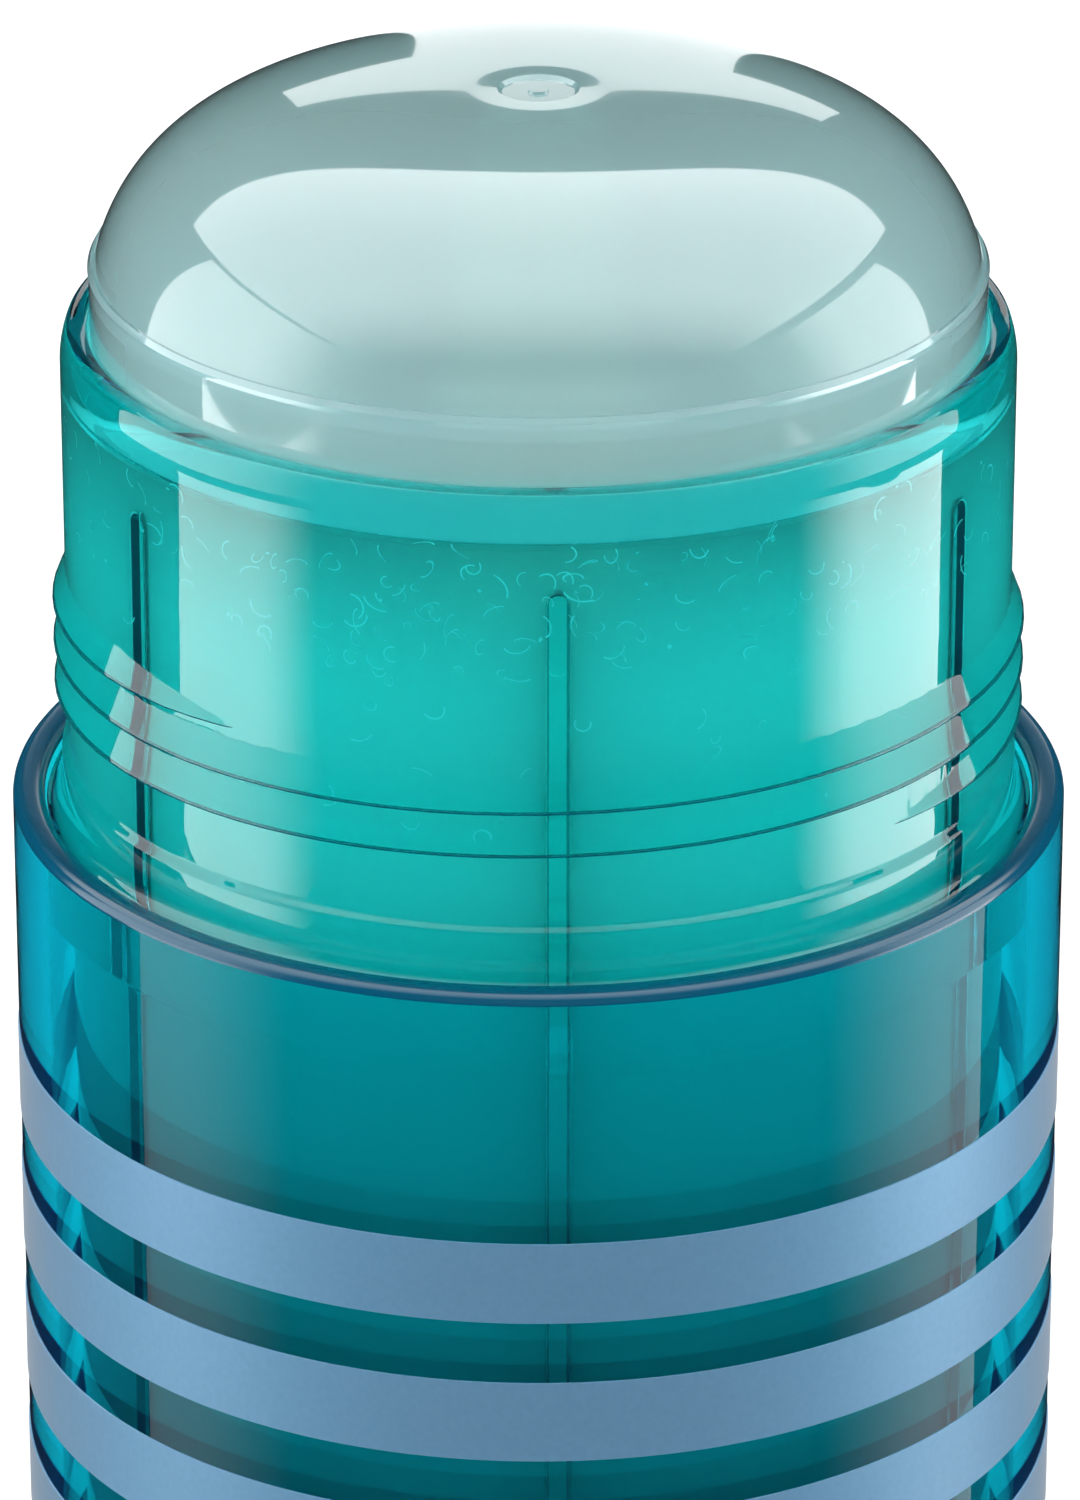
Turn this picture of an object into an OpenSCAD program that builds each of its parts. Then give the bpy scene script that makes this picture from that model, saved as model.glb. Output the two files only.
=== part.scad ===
// Twist-up gel deodorant stick, open, with its dome seal in place.
// A clear outer sleeve stands on the foot flange of a clear inner tube. The tube
// holds the gel on a lift. The dial at the base turns a screw through the lift.
// Units are millimetres, +Z is up, and the origin is the centre of the base.

/* [Sleeve] */
// Outer diameter of the sleeve and of the dial
sleeve_d = 46; // [44:0.5:52]
// Wall of the sleeve
sleeve_wall = 1.4; // [1:0.1:1.8]
// Height of the sleeve above the foot flange
sleeve_h = 43; // [38:1:60]
// Rounding of the sleeve's upper edges
rim_round = 0.5; // [0.2:0.05:0.6]

/* [Printed bands] */
// Distance from the sleeve's rim down to the first band
band_drop = 11.5; // [6:0.5:14]
// Width of one band
band_w = 3.75; // [2:0.25:5]
// Distance from one band's top edge to the next
band_pitch = 6.57; // [6.2:0.1:9]
// Thickness of the ink
band_ink = 0.05; // [0.03:0.01:0.1]

/* [Neck] */
// Height of the neck above the sleeve's rim
neck_h = 21.2; // [19:0.2:26]
// Width of the groove between neck and sleeve, for the skirt of a cap
groove_w = 1.1; // [0.8:0.1:1.6]
// Wall of the tube
tube_wall = 1.45; // [1.2:0.05:1.8]
// Height of the thicker collar at the root of the neck
collar_h = 2.05; // [1.4:0.05:2.6]
// How far the collar stands out from the neck
collar_proud = 0.3; // [0.15:0.05:0.4]
// Radial size of the lead-in at the neck's rim
lead_in = 0.3; // [0.1:0.05:0.4]

/* [Neck thread] */
// Rise of the thread in one turn
thread_pitch = 1.93; // [1.6:0.05:2.4]
// Number of turns
thread_turns = 2.79; // [1.5:0.1:3.2]
// Height of the thread's crest
thread_depth = 0.6; // [0.4:0.05:0.7]
// Height of the thread's lower end above the sleeve's rim
thread_low = 3.6; // [3:0.1:4.5]
// Turn of the thread's lower end, to the right of the front
thread_start = 42; // [0:1:90]

/* [Guide ribs] */
// Number of ribs along the tube's bore
rib_count = 6; // [3:1:8]
// Width of a rib
rib_w = 1; // [0.8:0.1:1.6]
// How far a rib stands into the bore
rib_proud = 0.8; // [0.5:0.1:1.2]
// Distance from the neck's rim down to the ribs' upper ends
rib_drop = 4.7; // [3.5:0.1:8]
// Turn of the first rib away from the front
rib_turn = 2.4; // [0:0.1:30]

/* [Dome seal] */
// Depth of the seal's seat below the neck's rim
seat_depth = 2.4; // [1.6:0.1:3]
// Wall of the seal
seal_wall = 0.8; // [0.6:0.05:1]
// Height of the seal's ledge above the neck's rim
ledge_h = 2.9; // [2:0.1:4]
// Width of the ledge
ledge_w = 0.35; // [0.2:0.05:0.6]
// Height of the dome above the ledge
dome_h = 7.9; // [6:0.1:10]
// Fullness of the dome's shoulder, where 2 is an ellipse
dome_power = 2.55; // [2.2:0.05:3]
// Depth of the shallow dish in the dome's crown
crown_dish = 0.6; // [0:0.05:0.8]
// Diameter of the dimple in the crown
dimple_d = 3.5; // [2:0.1:5]

/* [Screw and lift] */
// Diameter of the screw
screw_d = 5.3; // [4.5:0.1:6.5]
// Distance from the top of the screw up to the dome's crown
screw_drop = 4.6; // [3:0.1:10]
// Height of the lift, from its skirt to its plate
lift_h = 5.9; // [5:0.1:9]
// Thickness of the lift's plate and skirt
lift_wall = 1.4; // [1:0.1:1.8]
// Height of the lift's nut above its plate
nut_rise = 6; // [4:0.5:9]

/* [Base dial] */
// Height of the dial
dial_h = 10; // [9:0.5:16]
// Wall of the dial
dial_wall = 1.8; // [1.5:0.1:2.4]
// Number of grip flutes round the dial
flute_count = 40; // [24:1:48]
// Depth of a flute
flute_depth = 0.35; // [0.2:0.05:0.5]

/* [Hidden] */

// Smoothness of round pieces and step of the thread
$fn = 128;
thread_step = 7.5;
thread_sides = 8;
dome_steps = 28;

// Clearances: between moving pieces, at the sleeve's fit, in the nut, at the seal's plug, at the journal
// and in the socket. Then how far joined shapes overlap, and how far cuts run past a face.
run_gap = 0.3;
sleeve_fit = 0.05;
nut_gap = 0.1;
plug_gap = 0.1;
journal_gap = 0.1;
socket_gap = 0.03;
eps = 0.01;
over = 1;

// Tube and sleeve
sleeve_r = sleeve_d / 2;
sleeve_bore_r = sleeve_r - sleeve_wall;
neck_r = sleeve_bore_r - groove_w;
bore_r = neck_r - tube_wall;
flange_t = 1.7;
floor_t = 1.5;
locator_h = 3;
shoulder_drop = 0.7;
fillet_rise = 1;
flange_z = dial_h + run_gap;
floor_z = flange_z + flange_t;
floor_top_z = floor_z + floor_t;
rim_z = floor_z + sleeve_h;
neck_top_z = rim_z + neck_h;
lead_in_h = 5 * lead_in;
spigot_r = sleeve_r - dial_wall - run_gap;
spigot_h = 2.8;
spigot_wall = 1.1;

// Seal: plug, ledge and dome. The dome's curve turns vertical a little below the ledge.
seat_w = 0.25;
seat_r = bore_r + seat_w;
seal_r = seat_r - plug_gap;
seat_z = neck_top_z - seat_depth;
ledge_z = neck_top_z + ledge_h;
dome_sink = 1.9;
dome_rise = dome_h + dome_sink;
dome_base_z = ledge_z - dome_sink;
dome_r = (seal_r - ledge_w) / pow(1 - pow(dome_sink / dome_rise, dome_power), 1 / dome_power);
crown_z = ledge_z + dome_h - crown_dish;
dish_r = 7;
dimple_depth = 0.35;
nub_r = 0.5;
nub_h = 0.25;
bead_proud = 0.04;
ledge_round = 0.1;
bead_h = 0.5;

// Screw, from its hexagonal foot to its tip
screw_r = screw_d / 2;
hex_flats = screw_d - 0.3;
journal_w = 0.95;
journal_r = screw_r + journal_w;
thrust_w = 2.9;
thrust_r = journal_r + thrust_w;
thrust_h = 1.4;
thrust_z = floor_top_z + run_gap;
thrust_top_z = thrust_z + thrust_h;
screw_top_z = crown_z - screw_drop;
screw_tip = 0.8;

// Dial
plate_t = 2;
foot_recess = 0.6;
foot_w = 3.4;
hub_wall = 2.4;
hub_r = journal_r + hub_wall;
hub_top_z = floor_z - run_gap;
socket_floor_z = plate_t + 1;
web_t = 1.2;
web_count = 6;
web_top_z = flange_z - spigot_h - run_gap;
dial_chamfer = 0.5;
flute_r = 0.9;
flute_margin = 1.6;

// Lift and gel
lift_gap = 0.25;
lift_r = bore_r - lift_gap;
lift_z = floor_top_z + run_gap;
gel_z = lift_z + lift_h;
nut_wall = 2.35;
nut_r = screw_r + nut_wall;
nut_z = thrust_top_z + run_gap;
nut_top_z = gel_z + nut_rise;
anchor_r = (nut_r + lift_r) / 2;
anchor_t = 1.2;
anchor_h = 3;
web_step = 0.5;
rib_top_z = neck_top_z - rib_drop;

// Points of a dome curve that lies inset inside the outer dome, from its lowest height to its axis
function dome_curve(inset, low_z) =
    let (r0 = dome_r - inset, h0 = dome_rise - inset,
         t0 = asin(pow((low_z - dome_base_z) / h0, dome_power / 2)))
    [for (i = [0 : dome_steps])
        let (t = t0 + (90 - t0) * i / dome_steps,
             r = i == dome_steps ? 0 : r0 * pow(cos(t), 2 / dome_power),
             dish = r < dish_r ? crown_dish * pow(1 - pow(r / dish_r, 2), 2) : 0)
        [r, dome_base_z + h0 * pow(sin(t), 2 / dome_power) - dish]];

// Copies the children round the axis, one at each guide rib
module at_ribs() {
    for (i = [0 : rib_count - 1])
        rotate([0, 0, rib_turn - 90 + 360 * i / rib_count]) children();
}

// One straight guide rib with a round upper end, between two radii
module rib_bar(inner_r, outer_r, width, low_z, top_z) {
    translate([inner_r, -width / 2, low_z]) cube([outer_r - inner_r, width, top_z - width / 2 - low_z]);
    translate([inner_r, 0, top_z - width / 2]) rotate([0, 90, 0])
        cylinder(r = width / 2, h = outer_r - inner_r, $fn = 32);
}

// Turning base: a cup with grip flutes, a ring foot, a hub with a hexagonal socket and webs
module base_dial() {
    color([0.05, 0.55, 0.6]) difference() {
        union() {
            difference() {
                rotate_extrude() polygon([
                    [0, foot_recess], [sleeve_r - foot_w, foot_recess], [sleeve_r - foot_w, 0],
                    [sleeve_r - dial_chamfer, 0], [sleeve_r, dial_chamfer], [sleeve_r, dial_h],
                    [sleeve_r - dial_wall, dial_h], [sleeve_r - dial_wall, plate_t], [0, plate_t]]);
                for (i = [0 : flute_count - 1])
                    rotate([0, 0, 360 * i / flute_count])
                        translate([sleeve_r + flute_r - flute_depth, 0, flute_margin])
                            cylinder(r = flute_r, h = dial_h - 2 * flute_margin, $fn = 24);
            }
            translate([0, 0, plate_t - eps]) cylinder(r = hub_r, h = hub_top_z - plate_t + eps);
            for (i = [0 : web_count - 1])
                rotate([0, 0, 360 * i / web_count])
                    translate([hub_r - web_t, -web_t / 2, plate_t - eps])
                        cube([sleeve_r - dial_wall / 2 - hub_r + web_t, web_t, web_top_z - plate_t + eps]);
        }
        translate([0, 0, socket_floor_z])
            cylinder(r = (hex_flats / 2 + socket_gap) / cos(30), h = hub_top_z, $fn = 6);
    }
}

// Screw that the dial turns: hexagonal foot, journal, thrust flange and a long plain-crested screw
module screw_spindle() {
    color([0.93, 0.88, 0.74]) union() {
        translate([0, 0, socket_floor_z + run_gap])
            cylinder(r = hex_flats / 2 / cos(30), h = hub_top_z - socket_floor_z, $fn = 6);
        rotate_extrude() polygon([
            [0, hub_top_z], [journal_r, hub_top_z], [journal_r, thrust_z], [thrust_r, thrust_z],
            [thrust_r, thrust_top_z], [screw_r, thrust_top_z], [screw_r, screw_top_z - 2 * screw_tip],
            [screw_r - screw_tip, screw_top_z], [0, screw_top_z]]);
    }
}

// Helical ridge with a steep lower flank, which runs out into the neck at both ends
module neck_thread() {
    turn_steps = round(thread_turns * 360 / thread_step);
    ridge_w = thread_pitch * 0.96;
    runout = 3;
    sunk = 0.06;
    root_r = neck_r - tube_wall / 3;
    function fade(i) = min(1, i / runout, (turn_steps - i) / runout);
    function ring(i) =
        let (a = thread_start - 90 + thread_step * i,
             z = rim_z + thread_low + thread_pitch * thread_step * i / 360)
        concat(
            [for (k = [0 : thread_sides])
                let (r = neck_r - sunk + fade(i) * (thread_depth * sin(180 * k / thread_sides) + sunk / 2))
                [r * cos(a), r * sin(a), z + ridge_w * pow(k / thread_sides, 2)]],
            [[root_r * cos(a), root_r * sin(a), z + ridge_w], [root_r * cos(a), root_r * sin(a), z]]);
    sides = thread_sides + 3;
    points = [for (i = [0 : turn_steps]) each ring(i)];
    walls = [for (i = [0 : turn_steps - 1], k = [0 : sides - 1])
        let (p = i * sides + k, q = i * sides + (k + 1) % sides)
        each [[p, q, p + sides], [q, q + sides, p + sides]]];
    start_cap = [for (k = [sides - 1 : -1 : 0]) k];
    end_cap = [for (k = [0 : sides - 1]) turn_steps * sides + k];
    polyhedron(points = points, faces = concat([start_cap], walls, [end_cap]), convexity = 6);
}

// Clear tube: floor, foot flange, locating rings, threaded neck, seat for the seal and guide ribs
module inner_tube() {
    ring_r = sleeve_bore_r - sleeve_fit;
    collar_r = neck_r + collar_proud;
    fillet_r = ring_r - collar_r;
    color([0.1, 0.68, 0.68, 0.6]) union() {
        rotate_extrude() polygon(concat(
            [[journal_r + journal_gap, floor_z], [spigot_r - spigot_wall, floor_z],
             [spigot_r - spigot_wall, flange_z - spigot_h], [spigot_r, flange_z - spigot_h],
             [spigot_r, flange_z], [sleeve_r, flange_z], [sleeve_r, floor_z],
             [ring_r, floor_z], [ring_r, floor_z + locator_h],
             [neck_r, floor_z + locator_h + groove_w], [neck_r, rim_z - shoulder_drop - locator_h - groove_w],
             [ring_r, rim_z - shoulder_drop - locator_h], [ring_r, rim_z - shoulder_drop]],
            [for (i = [1 : 6]) let (a = 15 * i)
                [ring_r - fillet_r * sin(a), rim_z - shoulder_drop + fillet_rise * (1 - cos(a))]],
            [[collar_r, rim_z + collar_h - collar_proud], [neck_r, rim_z + collar_h],
             [neck_r, neck_top_z - lead_in_h], [neck_r - lead_in, neck_top_z],
             [seat_r, neck_top_z], [seat_r, seat_z], [bore_r, seat_z], [bore_r, floor_top_z],
             [journal_r + journal_gap, floor_top_z]]));
        neck_thread();
        at_ribs() rib_bar(bore_r - rib_proud, bore_r + tube_wall / 2, rib_w, floor_top_z - eps, rib_top_z);
    }
}

// Clear outer sleeve with rounded upper edges
module outer_sleeve() {
    edge_r = min(rim_round, 0.45 * sleeve_wall);
    color([0.1, 0.6, 0.68, 0.6]) translate([0, 0, floor_z]) rotate_extrude() union() {
        translate([sleeve_bore_r, 0]) square([sleeve_wall, sleeve_h - edge_r]);
        translate([sleeve_bore_r + edge_r, 0]) square([sleeve_wall - 2 * edge_r, sleeve_h]);
        for (x = [sleeve_bore_r + edge_r, sleeve_r - edge_r])
            translate([x, sleeve_h - edge_r]) circle(r = edge_r, $fn = 48);
    }
}

// Printed bands round the sleeve, as many as fit above its foot
module printed_bands() {
    foot_margin = 1;
    band_count = 1 + floor((sleeve_h - band_drop - band_w - foot_margin) / band_pitch);
    color([0.55, 0.69, 0.82]) for (i = [0 : band_count - 1])
        translate([0, 0, rim_z - band_drop - band_w - i * band_pitch]) difference() {
            cylinder(r = sleeve_r + band_ink, h = band_w);
            translate([0, 0, -over]) cylinder(r = sleeve_r, h = band_w + 2 * over);
        }
}

// Lift under the gel: plate, notched skirt, nut, webs and a ring that keys into the gel
module lift_platform() {
    color([0.9, 0.93, 0.92]) difference() {
        union() {
            rotate_extrude() polygon([
                [nut_r - web_t, gel_z - lift_wall], [lift_r - lift_wall, gel_z - lift_wall],
                [lift_r - lift_wall, lift_z], [lift_r, lift_z], [lift_r, gel_z], [nut_r - web_t, gel_z]]);
            translate([0, 0, nut_z]) cylinder(r = nut_r, h = nut_top_z - nut_z);
            translate([0, 0, gel_z - eps]) difference() {
                cylinder(r = anchor_r, h = anchor_h + eps);
                translate([0, 0, -over]) cylinder(r = anchor_r - anchor_t, h = anchor_h + 2 * over);
            }
            for (i = [0 : web_count - 1])
                rotate([0, 0, rib_turn + 360 * i / web_count])
                    translate([nut_r - web_t, -web_t / 2, nut_z + web_step])
                        cube([lift_r - lift_wall / 2 - nut_r + web_t, web_t,
                              gel_z - lift_wall / 2 - nut_z - web_step]);
        }
        translate([0, 0, lift_z - over]) cylinder(r = screw_r + nut_gap, h = nut_top_z - lift_z + 2 * over);
        at_ribs() rib_bar(bore_r - rib_proud - lift_gap, bore_r, rib_w + 2 * lift_gap,
            lift_z - over, gel_z + rib_w + over);
    }
}

// Solid gel, cast on the lift, with grooves for the guide ribs and a dome that follows the seal
module gel_stick() {
    gel_r = bore_r - run_gap;
    inner_r = seal_r - seal_wall - run_gap;
    color([0.72, 0.9, 0.86, 0.8]) difference() {
        rotate_extrude() polygon(concat(
            [[0, gel_z], [gel_r, gel_z], [gel_r, seat_z - run_gap], [inner_r, seat_z - run_gap],
             [inner_r, ledge_z - 2 * seal_wall]],
            dome_curve(seal_wall + run_gap, ledge_z - seal_wall)));
        translate([0, 0, gel_z - over]) cylinder(r = nut_r, h = nut_top_z - gel_z + over);
        translate([0, 0, gel_z]) cylinder(r = screw_r + run_gap, h = screw_top_z + run_gap - gel_z);
        translate([0, 0, gel_z - over]) difference() {
            cylinder(r = anchor_r, h = anchor_h + over);
            translate([0, 0, -over]) cylinder(r = anchor_r - anchor_t, h = anchor_h + 3 * over);
        }
        at_ribs() rib_bar(bore_r - rib_proud - run_gap, bore_r, rib_w + 2 * run_gap,
            gel_z - over, rib_top_z + run_gap);
    }
}

// Milky seal: a plug in the neck's seat, a ledge, and a domed crown with a dimple and a gate nub
module dome_seal() {
    color([0.78, 0.9, 0.9, 0.7]) union() {
        difference() {
            rotate_extrude() polygon(concat(
                [[seal_r - seal_wall, seat_z], [seal_r, seat_z], [seal_r, ledge_z - bead_h],
                 [seal_r + bead_proud, ledge_z - bead_h / 2], [seal_r - ledge_round, ledge_z]],
                dome_curve(0, ledge_z),
                [for (p = [1 : dome_steps + 1]) dome_curve(seal_wall, ledge_z)[dome_steps + 1 - p]],
                [[seal_r - seal_wall, ledge_z - seal_wall]]));
            translate([0, 0, crown_z - dimple_depth])
                cylinder(r = dimple_d / 2, h = dimple_depth + over, $fn = 64);
        }
        translate([0, 0, crown_z - dimple_depth - eps]) cylinder(r = nub_r, h = nub_h + eps, $fn = 48);
    }
}

base_dial();
screw_spindle();
inner_tube();
outer_sleeve();
printed_bands();
lift_platform();
gel_stick();
dome_seal();
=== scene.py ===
import math
import random

import bpy
from mathutils import Matrix, Vector


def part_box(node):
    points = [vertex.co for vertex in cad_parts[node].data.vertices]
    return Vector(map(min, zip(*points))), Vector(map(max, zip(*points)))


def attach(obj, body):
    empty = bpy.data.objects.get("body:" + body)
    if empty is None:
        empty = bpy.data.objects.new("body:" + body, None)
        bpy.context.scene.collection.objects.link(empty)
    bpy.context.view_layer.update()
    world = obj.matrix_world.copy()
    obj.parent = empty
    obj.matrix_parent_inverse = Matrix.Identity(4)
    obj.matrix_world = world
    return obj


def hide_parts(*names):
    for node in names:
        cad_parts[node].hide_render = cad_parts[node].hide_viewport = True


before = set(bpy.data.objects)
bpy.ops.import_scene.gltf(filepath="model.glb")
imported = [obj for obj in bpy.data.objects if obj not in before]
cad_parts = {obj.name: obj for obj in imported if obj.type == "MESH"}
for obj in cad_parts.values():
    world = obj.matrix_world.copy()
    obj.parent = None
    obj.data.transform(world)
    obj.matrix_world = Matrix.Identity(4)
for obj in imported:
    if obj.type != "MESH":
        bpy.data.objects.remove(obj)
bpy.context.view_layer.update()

# ---------------------------------------------------------------------------------------------
# The view. A long lens looks down at the open neck from the front, as the photograph does.
# It is aimed at the middle of the sleeve's rim, which lies a little below the picture's middle.
rim_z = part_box("outer_sleeve")[1].z
view_distance = 0.3698
view_height_angle = math.radians(23.95)
view_offset = Vector((0, -math.cos(view_height_angle), math.sin(view_height_angle))) * view_distance
bpy.ops.object.camera_add(location=Vector((0, 0, rim_z)) + view_offset)
camera = bpy.context.object
camera.name = "photo_view"
camera.rotation_euler = (-view_offset).to_track_quat("-Z", "Y").to_euler()
camera.data.sensor_width = 36
camera.data.lens = 202.6
camera.data.shift_x = 0.0010
camera.data.shift_y = 0.0135
camera.data.clip_start = 0.02
camera.data.clip_end = 20
bpy.context.scene.camera = camera
bpy.context.scene.view_settings.view_transform = "Standard"
# Clear walls stand inside one another here, so light needs many steps to get through them
bpy.context.scene.cycles.max_bounces = 24
bpy.context.scene.cycles.transmission_bounces = 24
bpy.context.scene.cycles.glossy_bounces = 8
bpy.context.scene.cycles.diffuse_bounces = 14


# ---------------------------------------------------------------------------------------------
# The studio: a pale table in a pale room, with a soft lamp above, in front, behind and at each side.
# Bright sheets near the lamps show only in glossy surfaces.
def linear(hex_colour):
    """An sRGB hex colour as Blender's linear one."""
    parts = [int(hex_colour[i:i + 2], 16) / 255 for i in (0, 2, 4)]
    return [p / 12.92 if p <= 0.04045 else ((p + 0.055) / 1.055) ** 2.4 for p in parts] + [1]


def add_node(tree, kind, sockets=(), **options):
    """Adds one node. Options are its own settings, and a socket takes a value or another node's output."""
    node = tree.nodes.new(kind)
    for name, value in options.items():
        setattr(node, name, value)
    for name, value in dict(sockets).items():
        if isinstance(value, bpy.types.NodeSocket):
            tree.links.new(value, node.inputs[name])
        else:
            node.inputs[name].default_value = value
    return node


def new_material(name):
    """An empty material and its node tree."""
    material = bpy.data.materials.new(name)
    material.use_nodes = True
    material.node_tree.nodes.clear()
    return material, material.node_tree


def patchy(tree, scale, first, second):
    """A fine noise between two sRGB colours: the noise's node and the colour's. A scale of 1000 is 1 mm."""
    place = add_node(tree, "ShaderNodeTexCoord")
    noise = add_node(tree, "ShaderNodeTexNoise",
                     {"Vector": place.outputs["Object"], "Scale": scale, "Detail": 3})
    colour = add_node(tree, "ShaderNodeMix",
                      {"Factor": noise.outputs[0], 6: linear(first), 7: linear(second)}, data_type="RGBA")
    return noise, colour


def deselect():
    if bpy.context.object and bpy.context.object.mode != "OBJECT":
        bpy.ops.object.mode_set(mode="OBJECT")
    bpy.ops.object.select_all(action="DESELECT")


# The table is white laminate, matt to the eye. The glow the camera sees on it is painted, whiter away from
# the pack and a little less white near it. This is a painted shade round the pack, so that it keeps the
# pack's soft shadow, and the table is dimmer through the clear walls
deselect()
bpy.ops.mesh.primitive_plane_add(size=6, location=(0, 0, -0.0001))
table = bpy.context.object
table.name = "table"
table_paint, tree = new_material("table_white_laminate")
path = add_node(tree, "ShaderNodeLightPath")
place = add_node(tree, "ShaderNodeTexCoord")
away = add_node(tree, "ShaderNodeVectorMath", {0: place.outputs["Object"]}, operation="LENGTH")
# Painted shade: the camera's glow is lower near the pack
white = add_node(tree, "ShaderNodeMapRange", {
    "Value": away.outputs["Value"], "From Min": 0.03, "From Max": 0.5, "To Min": 0.68, "To Max": 0.96})
seen = add_node(tree, "ShaderNodeMath", {0: path.outputs["Is Camera Ray"], 1: white.outputs[0]},
                operation="MULTIPLY")
through = add_node(tree, "ShaderNodeMath", {0: path.outputs["Is Transmission Ray"], 1: 0.45},
                   operation="MULTIPLY")
strength = add_node(tree, "ShaderNodeMath", {0: seen.outputs[0], 1: through.outputs[0]}, operation="ADD")
glow = add_node(tree, "ShaderNodeEmission", {"Color": linear("ffffff"), "Strength": strength.outputs[0]})
paint = add_node(tree, "ShaderNodeBsdfDiffuse", {"Color": linear("b0b0b0")})
both = add_node(tree, "ShaderNodeAddShader", {0: glow.outputs[0], 1: paint.outputs[0]})
add_node(tree, "ShaderNodeOutputMaterial", {"Surface": both.outputs[0]})
table.data.materials.append(table_paint)
table.visible_glossy = False

# The room is white behind the pack in the picture, grey through the clear walls, and nearly dark in what
# lights the pack
room = bpy.data.worlds.new("pale_room")
bpy.context.scene.world = room
room.use_nodes = True
room.node_tree.nodes.clear()
tree = room.node_tree
path = add_node(tree, "ShaderNodeLightPath")
through = add_node(tree, "ShaderNodeMath", {0: path.outputs["Is Transmission Ray"], 1: 0.35},
                   operation="MULTIPLY")
shown = add_node(tree, "ShaderNodeMath", {0: path.outputs["Is Camera Ray"], 1: through.outputs[0]},
                 operation="MAXIMUM")
level = add_node(tree, "ShaderNodeMapRange", {"Value": shown.outputs[0], "To Min": 0.012, "To Max": 1.0})
backdrop = add_node(tree, "ShaderNodeBackground", {"Color": linear("ffffff"), "Strength": level.outputs[0]})
add_node(tree, "ShaderNodeOutputWorld", {"Surface": backdrop.outputs[0]})


def bright_sheet(name, middle, size, turn, brightness, fade_from):
    """A white sheet that shows only in glossy surfaces. It fades out from a part of its length to its end."""
    deselect()
    bpy.ops.mesh.primitive_plane_add(size=1, location=middle)
    sheet = bpy.context.object
    sheet.name = name
    sheet.scale = (*size, 1)
    sheet.rotation_euler = turn
    cloth, tree = new_material(name + "_cloth")
    place = add_node(tree, "ShaderNodeTexCoord")
    along = add_node(tree, "ShaderNodeSeparateXYZ", {0: place.outputs["UV"]})
    fade = add_node(tree, "ShaderNodeMapRange", {
        "Value": along.outputs[0], "From Min": fade_from, "From Max": 1.0001, "To Min": brightness,
        "To Max": 0.0}, interpolation_type="SMOOTHSTEP")
    light = add_node(tree, "ShaderNodeEmission", {"Color": linear("ffffff"), "Strength": fade.outputs[0]})
    add_node(tree, "ShaderNodeOutputMaterial", {"Surface": light.outputs[0]})
    sheet.data.materials.append(cloth)
    for kind in ("camera", "diffuse", "transmission", "shadow"):
        setattr(sheet, "visible_" + kind, False)


# Upright sheets: name, first and last corner seen from above, lower and upper edge, all in metres,
# brightness, and the part of the length from which they fade. The cards stand close and light the neck
for name, start, end, low, high, brightness, fade_from in (
    ("panel_left", (-0.70, 0.31), (-0.70, -0.60), -0.09, 0.53, 2.7, 0.45),
    ("panel_right", (0.72, 0.32), (0.72, -0.36), -0.10, 0.48, 2.6, 0.5),
    ("panel_back", (-0.05, 0.90), (0.094, 0.90), -0.34, 0.30, 1.3, 1.0),
    ("panel_back_top", (-0.159, 0.90), (0.233, 0.90), 0.30, 0.405, 1.3, 1.0),
    ("card_left", (-0.1097, -0.0045), (-0.0851, -0.0755), 0.016, 0.040, 3.8, 0.55),
    ("card_right", (0.1047, 0.0251), (0.0953, -0.0606), 0.016, 0.040, 5.0, 0.55),
    ("card_left_low", (-0.1097, -0.0045), (-0.0851, -0.0755), -0.060, 0.0155, 0.7, 0.3),
    ("card_right_low", (0.1047, 0.0251), (0.0953, -0.0606), -0.060, 0.0155, 1.2, 0.3),
):
    start, end = Vector(start), Vector(end)
    run = end - start
    bright_sheet(name, (*((start + end) / 2), (low + high) / 2), (run.length, high - low),
                 (math.pi / 2, 0, math.atan2(run.y, run.x)), brightness, fade_from)
bright_sheet("panel_above", (0.02, -0.04, 0.68), (1.62, 1.80), (0, 0, -math.pi / 2), 2.6, 0.5)

# Lamps: name, middle, width and height in metres, and brightness, where 1 is a white sheet in full light.
# They face the dome, and the one above faces down
dome_middle = Vector((0, 0, 0.08))
for name, middle, width, height, brightness in (
    ("lamp_above", (0.045, 0.285, 0.66), 1.65, 0.93, 1.0),
    ("lamp_left", (-0.68, -0.10, 0.18), 0.82, 0.80, 3.0),
    ("lamp_right", (0.70, -0.02, 0.18), 0.80, 0.80, 2.8),
    ("lamp_front", (0.05, -0.75, 0.22), 0.90, 0.50, 2.6),
    ("lamp_back", (0.0, 0.85, 0.30), 0.90, 0.60, 1.8),
):
    deselect()
    bpy.ops.object.light_add(type="AREA", location=middle)
    lamp = bpy.context.object
    lamp.name = name
    lamp.data.shape = "RECTANGLE"
    lamp.data.size = width
    lamp.data.size_y = height
    lamp.data.energy = brightness * math.pi * width * height
    lamp.rotation_euler = (Vector(middle) - dome_middle).to_track_quat("Z", "Y").to_euler()
    if name == "lamp_above":
        lamp.rotation_euler = (0, 0, 0)
    for kind in ("glossy", "camera"):
        setattr(lamp, "visible_" + kind, False)


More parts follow.
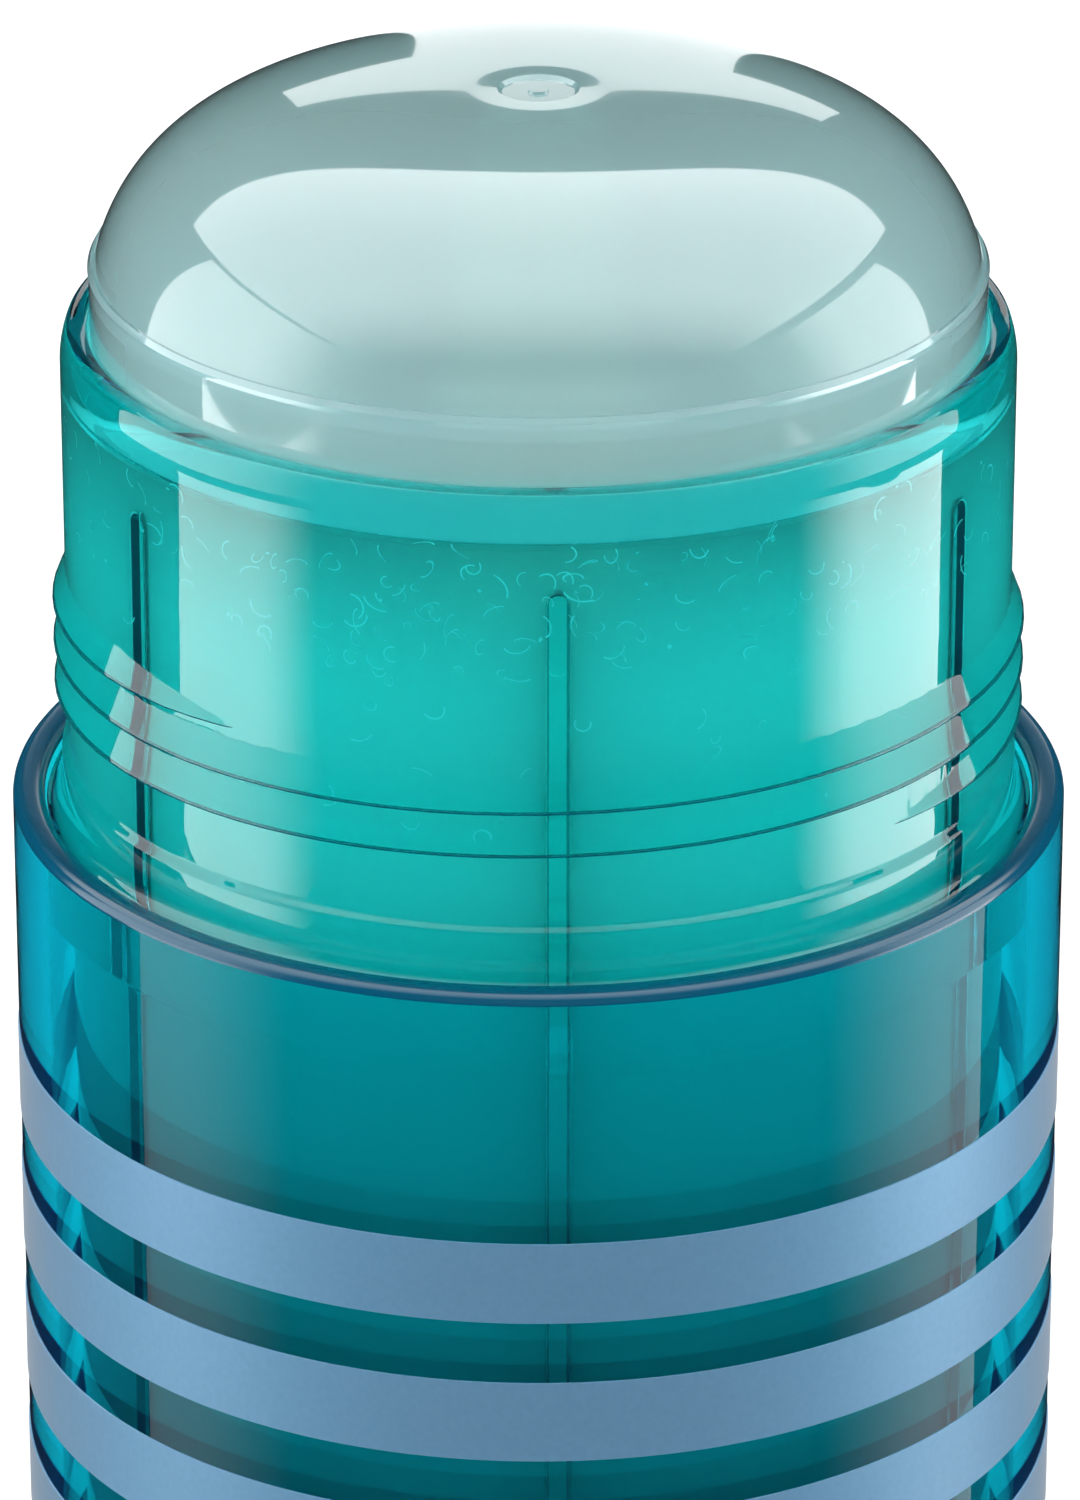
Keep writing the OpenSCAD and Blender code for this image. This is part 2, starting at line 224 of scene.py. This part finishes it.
# ---------------------------------------------------------------------------------------------
# The outer sleeve: a clear turquoise tube of styrene acrylonitrile, injection moulded and
# polished by its mould, with a rounded rim. It is pressed over the inner tube's two rings.
def drawn(name, points):
    """A chain of points in the XZ plane, in millimetres: one vertex, extruded from point to point."""
    deselect()
    bpy.ops.mesh.primitive_circle_add(vertices=3, radius=0.001)
    bpy.context.object.name = name
    bpy.ops.object.mode_set(mode="EDIT")
    bpy.ops.mesh.select_mode(type="VERT")
    bpy.ops.mesh.merge(type="CENTER")
    here = Vector((0, 0, 0))
    for i, (x, z) in enumerate(points):
        there = Vector((x, 0, z)) / 1000
        if i == 0:
            bpy.ops.transform.translate(value=there)
        else:
            bpy.ops.mesh.extrude_region_move(TRANSFORM_OT_translate={"value": there - here})
        here = there
    bpy.ops.mesh.select_all(action="SELECT")
    return bpy.context.object


def turned(name, points, steps=256):
    """A closed outline spun about the pack's axis, with its seam and poles merged and its faces outwards."""
    piece = drawn(name, list(points) + [points[0]])
    bpy.ops.mesh.remove_doubles(threshold=1e-7)
    bpy.ops.mesh.spin(steps=steps, angle=2 * math.pi, center=(0, 0, 0), axis=(0, 0, 1))
    bpy.ops.mesh.select_all(action="SELECT")
    bpy.ops.mesh.remove_doubles(threshold=1e-7)
    bpy.ops.mesh.normals_make_consistent(inside=False)
    bpy.ops.object.mode_set(mode="OBJECT")
    return piece


def arc(x, z, radius, start, end, steps=6):
    """Points of an arc about x, z from one angle to another, in degrees."""
    turns = [math.radians(start + (end - start) * i / steps) for i in range(steps + 1)]
    return [(x + radius * math.cos(t), z + radius * math.sin(t)) for t in turns]


def apply_modifier(piece, kind, **settings):
    deselect()
    piece.select_set(True)
    bpy.context.view_layer.objects.active = piece
    modifier = piece.modifiers.new("step", kind)
    for name, value in settings.items():
        setattr(modifier, name, value)
    bpy.ops.object.modifier_apply(modifier=modifier.name)


def smooth(piece, degrees=30):
    """Smooths a piece up to an angle, and keeps its long straight walls true beside their rounded edges."""
    deselect()
    piece.select_set(True)
    bpy.context.view_layer.objects.active = piece
    bpy.ops.object.shade_smooth_by_angle(angle=math.radians(degrees))
    apply_modifier(piece, "WEIGHTED_NORMAL", mode="FACE_AREA", weight=50, keep_sharp=True)


def clear_plastic(name, face_tint_or_painted_shade, depth_tint, roughness=0.01, clear=1.0):
    """Clear polished styrene acrylonitrile: faintly rippled, tinted at its faces, and deeper in colour the
    longer the way through it is. A dark tint at its faces is a painted shade."""
    material, tree = new_material(name)
    place = add_node(tree, "ShaderNodeTexCoord")
    ripple = add_node(tree, "ShaderNodeTexNoise",
                      {"Vector": place.outputs["Object"], "Scale": 260, "Detail": 2, "Roughness": 0.4})
    bump = add_node(tree, "ShaderNodeBump",
                    {"Height": ripple.outputs[0], "Strength": 0.04, "Distance": 0.0002})
    shader = add_node(tree, "ShaderNodeBsdfPrincipled", {
        "Base Color": (*face_tint_or_painted_shade, 1), "Roughness": roughness, "IOR": 1.56,
        "Transmission Weight": clear, "Normal": bump.outputs[0]})
    depth = add_node(tree, "ShaderNodeVolumeAbsorption", {"Color": (*depth_tint, 1), "Density": 1200})
    add_node(tree, "ShaderNodeOutputMaterial", {"Surface": shader.outputs[0], "Volume": depth.outputs[0]})
    return material


sleeve_foot, sleeve_top = (corner.z * 1000 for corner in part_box("outer_sleeve"))
sleeve_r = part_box("outer_sleeve")[1].x * 1000
sleeve_wall, rim_round = 1.4, 0.5
sleeve_bore = sleeve_r - sleeve_wall
sleeve = turned("sleeve_clear", [(sleeve_bore, sleeve_foot), (sleeve_r, sleeve_foot)]
                + arc(sleeve_r - rim_round, sleeve_top - rim_round, rim_round, 0, 90)
                + arc(sleeve_bore + rim_round, sleeve_top - rim_round, rim_round, 90, 180))
smooth(sleeve)
# Deep blue where the wall is seen edge on, and turquoise where it is seen face on
blue_depth = (0.0, 0.88, 0.945)
san_blue = clear_plastic("clear_blue_san", (0.08, 0.999, 0.999), blue_depth)
sleeve.data.materials.append(san_blue)
# The rim's edge is faintly matt from the mould. Its top is painted a deep blue, a painted shade that stands
# in for the dark line the rim shows
rim_painted_shade = clear_plastic("matt_san_rim_with_painted_shade", (0.0, 0.15, 0.29), (0.0, 0.83, 0.90), roughness=0.15, clear=0.4)
sleeve.data.materials.append(rim_painted_shade)
# Painted shade: the rim's upward faces take the dark blue rim material
for face in sleeve.data.polygons:
    if face.center.z > (sleeve_top - rim_round) / 1000 and face.normal.z > 0.05:
        face.material_index = 1
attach(sleeve, "pack")
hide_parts("outer_sleeve")

# ---------------------------------------------------------------------------------------------
# The printed bands: five rings of pearly ink, screen printed round the sleeve. The ink is a few
# hundredths of a millimetre thick, bites into the sleeve and lets a little light through.
band_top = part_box("printed_bands")[1].z * 1000
band_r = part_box("printed_bands")[1].x * 1000
band_width, band_step, ink_sink, edge = 3.75, 6.57, 0.02, 0.02
band_rings = []
for i in range(5):
    top = band_top - i * band_step
    foot = top - band_width
    ring = turned("band_%d" % (i + 1), [(sleeve_r - ink_sink, foot), (band_r, foot + edge),
                                        (band_r, top - edge), (sleeve_r - ink_sink, top)])
    smooth(ring, 50)
    band_rings.append(ring)
# Pearl flakes in the ink brighten it towards the lamps, with a fine grain
ink, tree = new_material("satin_screen_ink")
grain, tone = patchy(tree, 3200, "82bfe6", "94ccf0")
bump = add_node(tree, "ShaderNodeBump", {"Height": grain.outputs[0], "Strength": 0.25, "Distance": 0.00003})
shader = add_node(tree, "ShaderNodeBsdfPrincipled", {
    "Base Color": tone.outputs[2], "Roughness": 0.5, "Metallic": 0.4, "Coat Weight": 1.0,
    "Coat Roughness": 0.3, "Sheen Weight": 0.9, "Sheen Roughness": 0.35, "Normal": bump.outputs[0]})
glow = add_node(tree, "ShaderNodeBsdfTranslucent", {"Color": tone.outputs[2]})
layer = add_node(tree, "ShaderNodeMixShader", {0: 0.35, 1: shader.outputs[0], 2: glow.outputs[0]})
add_node(tree, "ShaderNodeOutputMaterial", {"Surface": layer.outputs[0]})
for ring in band_rings:
    ring.data.materials.append(ink)
    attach(ring, "pack")
    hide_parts("printed_bands")

# ---------------------------------------------------------------------------------------------
# The inner tube: a clear turquoise moulding of the same plastic, which holds the gel. Its neck
# has the cap's thread outside, six guide ribs inside and a seat for the seal at its mouth.
tube_foot, neck_top = (corner.z * 1000 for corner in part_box("inner_tube"))
neck_r, bore_r, seat_r, hub_bore = 20.5, 19.05, 19.3, 3.7
floor_z, floor_top = sleeve_foot, sleeve_foot + 1.5
ring_r, collar_r = 21.55, 20.8
spigot_bore, spigot_r, spigot_h = 19.8, 20.9, 2.8
seat_z = neck_top - 2.4
fillet_foot, fillet_w = sleeve_top - 0.7, 0.75
fillet = [(ring_r - fillet_w * math.sin(turn), fillet_foot + 1 - math.cos(turn))
          for turn in (math.radians(15 * i) for i in range(1, 7))]
lead_w, lead_h = 0.3, 1.5
lead_in = [(neck_r - lead_w * (i / 5) ** 2, neck_top - lead_h * (1 - i / 5)) for i in range(6)]
tube = turned("tube_clear", [
    (hub_bore, floor_z), (spigot_bore, floor_z), (spigot_bore, tube_foot), (spigot_r, tube_foot),
    (spigot_r, tube_foot + spigot_h), (sleeve_r, tube_foot + spigot_h), (sleeve_r, floor_z),
    (ring_r, floor_z), (ring_r, floor_z + 3), (neck_r, floor_z + 4.1), (neck_r, sleeve_top - 4.8),
    (ring_r, sleeve_top - 3.7), (ring_r, fillet_foot)] + fillet + [
    (collar_r, sleeve_top + 1.75), (neck_r, sleeve_top + 2.05)] + lead_in + [
    (seat_r, neck_top), (seat_r, seat_z), (bore_r, seat_z), (bore_r, floor_top), (hub_bore, floor_top)])
apply_modifier(tube, "BEVEL", width=0.00012, segments=2, limit_method="ANGLE", angle_limit=math.radians(35))

# Greener than the sleeve, and clear enough for the gel to shine through
san_turquoise = clear_plastic("clear_turquoise_san", (0.87, 0.999, 0.99), (0.15, 0.982, 0.988))
# The thread's underside and the ribs' sides are painted a dark turquoise, a painted shade that stands in for
# the dark lines seen along these edges
painted_shade_turquoise = clear_plastic("turquoise_san_painted_shade", (0.0, 0.11, 0.18), (0.15, 0.94, 0.97),
                               roughness=0.2, clear=0.15)

# The cap's thread: one ridge, steep below and sloping above, wound round the neck from a start in degrees
# about the axis, and sunk over its last few sections at both ends
pitch, turns, thread_start, ridge_steps, fade_steps = 1.93, 2.79, 42, 268, 9
ridge_back, ridge_top = neck_r - 0.6, 1.82
ridge_outline = [(neck_r + 0.2, 0.01)] + arc(neck_r + 0.45, 0.14, 0.12, -90, 15, 5)
ridge_outline += [(neck_r - 0.04 + 0.6 * (1 - k / 8) ** 1.3, 0.22 + 0.2 * k) for k in range(1, 9)]
ridge_outline += [(ridge_back, ridge_top), (ridge_back, 0)]
ridge = drawn("neck_thread", ridge_outline + ridge_outline[:1])
tube.data.materials.append(san_turquoise)
tube.data.materials.append(painted_shade_turquoise)
ridge.data.materials.append(san_turquoise)
ridge.data.materials.append(painted_shade_turquoise)
bpy.ops.mesh.remove_doubles(threshold=1e-7)
bpy.ops.object.mode_set(mode="OBJECT")
apply_modifier(ridge, "SCREW", angle=math.radians(360 * turns), screw_offset=pitch * turns / 1000,
               iterations=1, steps=ridge_steps, render_steps=ridge_steps, use_merge_vertices=False)
section_points = len(ridge.data.vertices) // (ridge_steps + 1)
for i in range(fade_steps):
    sunk = 1 - 0.036 * (1 - i / fade_steps) ** 2
    for section in (i, ridge_steps - i):
        for vertex in ridge.data.vertices:
            vertex.select = vertex.index // section_points == section
        bpy.ops.object.mode_set(mode="EDIT")
        bpy.ops.mesh.select_mode(type="VERT")
        bpy.ops.transform.resize(value=(sunk, sunk, 1), center_override=(0, 0, 0))
        bpy.ops.mesh.select_all(action="DESELECT")
        bpy.ops.object.mode_set(mode="OBJECT")
for section in (0, ridge_steps):
    for vertex in ridge.data.vertices:
        vertex.select = vertex.index // section_points == section
    bpy.ops.object.mode_set(mode="EDIT")
    bpy.ops.mesh.edge_face_add()
    bpy.ops.mesh.select_all(action="DESELECT")
    bpy.ops.object.mode_set(mode="OBJECT")
bpy.ops.object.mode_set(mode="EDIT")
bpy.ops.mesh.select_all(action="SELECT")
bpy.ops.mesh.normals_make_consistent(inside=False)
bpy.ops.transform.rotate(value=math.radians(90 - thread_start), orient_axis="Z", center_override=(0, 0, 0))
bpy.ops.transform.translate(value=(0, 0, (sleeve_top + 3.6) / 1000))
bpy.ops.object.mode_set(mode="OBJECT")
# Painted shade: the ridge's downward faces take the dark turquoise
for face in ridge.data.polygons:
    painted_shade_underside = face.normal.z < -0.2
    if painted_shade_underside:
        face.material_index = 1
apply_modifier(tube, "BOOLEAN", object=ridge, operation="UNION", solver="EXACT")
bpy.data.objects.remove(ridge)


def guide_ribs(name, half_width, inner_r, outer_r, low, high):
    """Six upright bars with rounded tops round the pack's axis, the first just right of the front.
    They narrow inwards, as the mould's draft makes them."""
    bar = drawn(name, [(-half_width, low), (half_width, low)]
                + arc(0, high - half_width, half_width, 0, 180, 8) + [(-half_width, low)])
    bpy.ops.mesh.remove_doubles(threshold=1e-7)
    bpy.ops.mesh.edge_face_add()
    bpy.ops.mesh.extrude_region_move(TRANSFORM_OT_translate={"value": (0, (outer_r - inner_r) / 1000, 0)})
    bpy.ops.transform.resize(value=(0.7, 1, 1), center_override=(0, 0, 0))
    bpy.ops.mesh.select_all(action="SELECT")
    bpy.ops.mesh.normals_make_consistent(inside=False)
    bpy.ops.transform.translate(value=(0, -outer_r / 1000, 0))
    bpy.ops.transform.rotate(value=-math.radians(2.4), orient_axis="Z", center_override=(0, 0, 0))
    for i in range(5):
        bpy.ops.mesh.duplicate()
        bpy.ops.transform.rotate(value=math.radians(60), orient_axis="Z", center_override=(0, 0, 0))
    bpy.ops.object.mode_set(mode="OBJECT")
    return bar


rib_top = sleeve_top + 16.5
rib_depth, rib_half = 0.8, 0.5
ribs = guide_ribs("ribs", rib_half, bore_r - rib_depth, bore_r + 0.3, floor_top - 0.3, rib_top)
ribs.data.materials.append(san_turquoise)
ribs.data.materials.append(painted_shade_turquoise)
# Painted shade: the ribs' sides take the dark turquoise
for face in ribs.data.polygons:
    outwards = Vector((face.center.x, face.center.y, 0)).normalized()
    painted_shade_side = abs(face.normal.dot(outwards)) < 0.7
    if painted_shade_side:
        face.material_index = 1
apply_modifier(tube, "BOOLEAN", object=ribs, operation="UNION", solver="EXACT")
bpy.data.objects.remove(ribs)
smooth(tube)
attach(tube, "pack")
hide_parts("inner_tube")

# ---------------------------------------------------------------------------------------------
# Smears of gel: small white curls and dots of soap that dried on the neck's inner wall when the
# stick was wound down. Each is a thin bent thread, pressed flat against the wall.
# Shapes of curl: radius of the bend in millimetres, its angle in degrees and the thread's radius
curl_shapes = []
for reach, bend, thickness in ((0.9, 75, 0.035), (0.5, 150, 0.04), (0.33, 230, 0.04), (0.05, 350, 0.05)):
    deselect()
    bpy.ops.mesh.primitive_circle_add(vertices=6, radius=thickness / 1000, location=(reach / 1000, 0, 0),
                                      fill_type="NGON")
    curl = bpy.context.object
    bpy.ops.object.transform_apply(location=True)
    bpy.ops.object.mode_set(mode="EDIT")
    bpy.ops.mesh.select_all(action="SELECT")
    bpy.ops.mesh.spin(steps=10, angle=math.radians(bend), center=(0, 0, 0), axis=(0, 1, 0))
    bpy.ops.mesh.select_all(action="SELECT")
    bpy.ops.mesh.normals_make_consistent(inside=False)
    bpy.ops.object.mode_set(mode="OBJECT")
    curl_shapes.append(curl)
chance = random.Random(7)
smear_r = bore_r + 0.06
curls = []
for i in range(230):
    curl = curl_shapes[chance.choice((0, 0, 1, 1, 1, 2, 2, 3))]
    around = math.radians(chance.gauss(0, 42) if i % 5 else chance.uniform(-180, 180))
    height = seat_z - 0.4 - (5.5 * chance.random() if i % 4 else 13 * chance.random() ** 1.5)
    deselect()
    curl.select_set(True)
    bpy.context.view_layer.objects.active = curl
    bpy.ops.object.duplicate()
    piece = bpy.context.object
    piece.matrix_world = (
        Matrix.Rotation(around, 4, "Z") @ Matrix.Translation((0, -smear_r / 1000, height / 1000))
        @ Matrix.Rotation(chance.uniform(0, 2 * math.pi), 4, "Y")
        @ Matrix.Diagonal((chance.uniform(0.5, 1.3), 0.6, chance.uniform(0.3, 1.1), 1)))
    curls.append(piece)
for curl in curl_shapes:
    bpy.data.objects.remove(curl)
deselect()
for curl in curls:
    curl.select_set(True)
smears = curls[0]
bpy.context.view_layer.objects.active = smears
bpy.ops.object.join()
bpy.ops.object.transform_apply(location=True, rotation=True, scale=True)
smears.name = "gel_smears"
smooth(smears, 60)
# White and matt, so that the curls stay pale through the tinted wall
dried_soap, tree = new_material("dried_white_soap")
tone = patchy(tree, 1500, "e6f7f4", "ffffff")[1]
shader = add_node(tree, "ShaderNodeBsdfPrincipled",
                  {"Base Color": tone.outputs[2], "Roughness": 0.5, "IOR": 1.4})
add_node(tree, "ShaderNodeOutputMaterial", {"Surface": shader.outputs[0]})
smears.data.materials.clear()
smears.data.materials.append(dried_soap)
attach(smears, "pack")

# ---------------------------------------------------------------------------------------------
# The gel: a clear, faintly hazy soap gel, cast hot on the lift. It takes the shape of the seal at
# its top, and wets the tube's wall and the screw.
gel_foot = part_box("gel_stick")[0].z * 1000
gel_r = bore_r + 0.02
seal_r, seal_wall = 19.2, 0.8
ledge_z = neck_top + 2.9
# The dome is a rounded box in section, of this power, radius and height, from a base below the ledge
dome_power, dome_r, dome_rise = 3.2, 19.5, 14.04
dome_base = ledge_z - 6.54
dish_r, dish_depth = 3.5, 0.03


def dome_curve(inset, low_z, steps=48):
    """Points of the dome's outline, a given distance inside the outer one, from a height up to the axis."""
    r0, h0 = dome_r - inset, dome_rise - inset
    low = math.asin(((low_z - dome_base) / h0) ** (dome_power / 2))
    points = []
    for i in range(steps + 1):
        t = low + (math.pi / 2 - low) * i / steps
        r = 0 if i == steps else r0 * math.cos(t) ** (2 / dome_power)
        dish = dish_depth * (1 - (r / dish_r) ** 2) ** 2 if r < dish_r else 0
        points.append((r, dome_base + h0 * math.sin(t) ** (2 / dome_power) - dish))
    return points


screw_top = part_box("screw_spindle")[1].z * 1000
nut_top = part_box("lift_platform")[1].z * 1000
screw_bore, screw_room = 2.6, 0.3
nut_r, ring_inner, ring_outer, ring_h = 5.0, 10.7, 11.9, 3
plug_bore = 18.45
gel = turned("gel_clear", [
    (screw_bore, screw_top + screw_room), (screw_bore, nut_top), (nut_r, nut_top), (nut_r, gel_foot),
    (ring_inner, gel_foot), (ring_inner, gel_foot + ring_h), (ring_outer, gel_foot + ring_h),
    (ring_outer, gel_foot), (gel_r, gel_foot), (gel_r, seat_z - 0.3), (plug_bore, seat_z - 0.3),
    (plug_bore, ledge_z - 1.6)] + dome_curve(seal_wall - 0.05, ledge_z - 0.8) + [(0, screw_top + screw_room)])
grooves = guide_ribs("grooves", rib_half + 0.1, bore_r - rib_depth - 0.1, bore_r + 0.5, gel_foot - 0.5,
                     rib_top + 0.1)
apply_modifier(gel, "BOOLEAN", object=grooves, operation="DIFFERENCE", solver="EXACT")
bpy.data.objects.remove(grooves)
smooth(gel)
# Soap gel is hazy in its depth, and clear in the crown, where the screw shows through it
gel_paint, tree = new_material("hazy_soap_gel")
cloud, tone = patchy(tree, 120, "d2f3e7", "dff9f0")
bump = add_node(tree, "ShaderNodeBump", {"Height": cloud.outputs[0], "Strength": 0.1, "Distance": 0.0002})
place = add_node(tree, "ShaderNodeTexCoord")
height = add_node(tree, "ShaderNodeSeparateXYZ", {0: place.outputs["Object"]})
clearness = add_node(tree, "ShaderNodeMapRange", {
    "Value": height.outputs[2], "From Min": 0.066, "From Max": 0.081, "To Min": 0.1, "To Max": 0.92},
    interpolation_type="SMOOTHSTEP")
shader = add_node(tree, "ShaderNodeBsdfPrincipled", {
    "Base Color": tone.outputs[2], "Roughness": 0.25, "IOR": 1.40,
    "Transmission Weight": clearness.outputs[0], "Subsurface Weight": 1.0,
    "Subsurface Radius": (1, 1, 1), "Subsurface Scale": 0.02, "Normal": bump.outputs[0]})
add_node(tree, "ShaderNodeOutputMaterial", {"Surface": shader.outputs[0]})
gel.data.materials.append(gel_paint)
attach(gel, "carriage")
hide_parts("gel_stick")

# ---------------------------------------------------------------------------------------------
# The dome seal: milky polypropylene, injection moulded through a gate in the middle of its crown.
# Its plug grips the neck's seat, and its dome keeps the gel's rounded top in shape.
crown_z = dome_base + dome_rise - dish_depth
dimple_r, dimple_foot, nub_top = 1.75, crown_z - 0.16, crown_z - 0.04
outside = [point for point in dome_curve(0, ledge_z) if point[0] > dimple_r]
inside = dome_curve(seal_wall, ledge_z)
dimple = [(dimple_r, crown_z), (1.55, dimple_foot), (0.45, dimple_foot), (0.4, nub_top), (0, nub_top)]
dome = turned("seal_milky", [
    (seal_r - seal_wall, seat_z), (seal_r, seat_z), (seal_r, ledge_z - 0.5), (seal_r + 0.04, ledge_z - 0.25),
    (seal_r - 0.1, ledge_z)] + outside + dimple + inside[::-1] + [(seal_r - seal_wall, ledge_z - seal_wall)])
smooth(dome)
# Half clear and milky, with the mould's high gloss over it
polypropylene, tree = new_material("milky_polypropylene")
tone = patchy(tree, 90, "cff6fc", "dafcff")[1]
shader = add_node(tree, "ShaderNodeBsdfPrincipled", {
    "Base Color": tone.outputs[2], "Roughness": 0.06, "IOR": 1.5, "Transmission Weight": 0.62,
    "Coat Weight": 1.0, "Coat Roughness": 0.02, "Coat IOR": 1.5})
add_node(tree, "ShaderNodeOutputMaterial", {"Surface": shader.outputs[0]})
dome.data.materials.append(polypropylene)
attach(dome, "seal")
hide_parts("dome_seal")

# ---------------------------------------------------------------------------------------------
# The screw: natural cream acetal, injection moulded, with a hexagonal foot that sits in the dial.
# The dial turns it to wind the lift up. It is the CAD's own solid with a satin, warm finish.
acetal, tree = new_material("natural_acetal")
tone = patchy(tree, 300, "fff1cc", "fff7de")[1]
shader = add_node(tree, "ShaderNodeBsdfPrincipled",
                  {"Base Color": tone.outputs[2], "Roughness": 0.4, "IOR": 1.48})
add_node(tree, "ShaderNodeOutputMaterial", {"Surface": shader.outputs[0]})
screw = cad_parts["screw_spindle"]
screw.data.materials.clear()
screw.data.materials.append(acetal)

# ---------------------------------------------------------------------------------------------
# The lift: white polypropylene, injection moulded, with a nut for the screw and a ring that keys
# the gel. It carries the gel from below, and is the CAD's own solid with a soft, waxy white finish.
lift_white, tree = new_material("white_polypropylene")
tone = patchy(tree, 300, "dfe8e6", "eef3f2")[1]
shader = add_node(tree, "ShaderNodeBsdfPrincipled",
                  {"Base Color": tone.outputs[2], "Roughness": 0.35, "IOR": 1.49})
add_node(tree, "ShaderNodeOutputMaterial", {"Surface": shader.outputs[0]})
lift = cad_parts["lift_platform"]
lift.data.materials.clear()
lift.data.materials.append(lift_white)

# ---------------------------------------------------------------------------------------------
# The dial: deep turquoise ABS, injection moulded with grip flutes, and snapped on under the tube's
# foot. It is the CAD's own solid with a smooth, opaque finish.
dial_abs, tree = new_material("turquoise_abs")
tone = patchy(tree, 900, "0c8f9a", "10a0aa")[1]
shader = add_node(tree, "ShaderNodeBsdfPrincipled",
                  {"Base Color": tone.outputs[2], "Roughness": 0.3, "IOR": 1.54})
add_node(tree, "ShaderNodeOutputMaterial", {"Surface": shader.outputs[0]})
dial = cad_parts["base_dial"]
dial.data.materials.clear()
dial.data.materials.append(dial_abs)
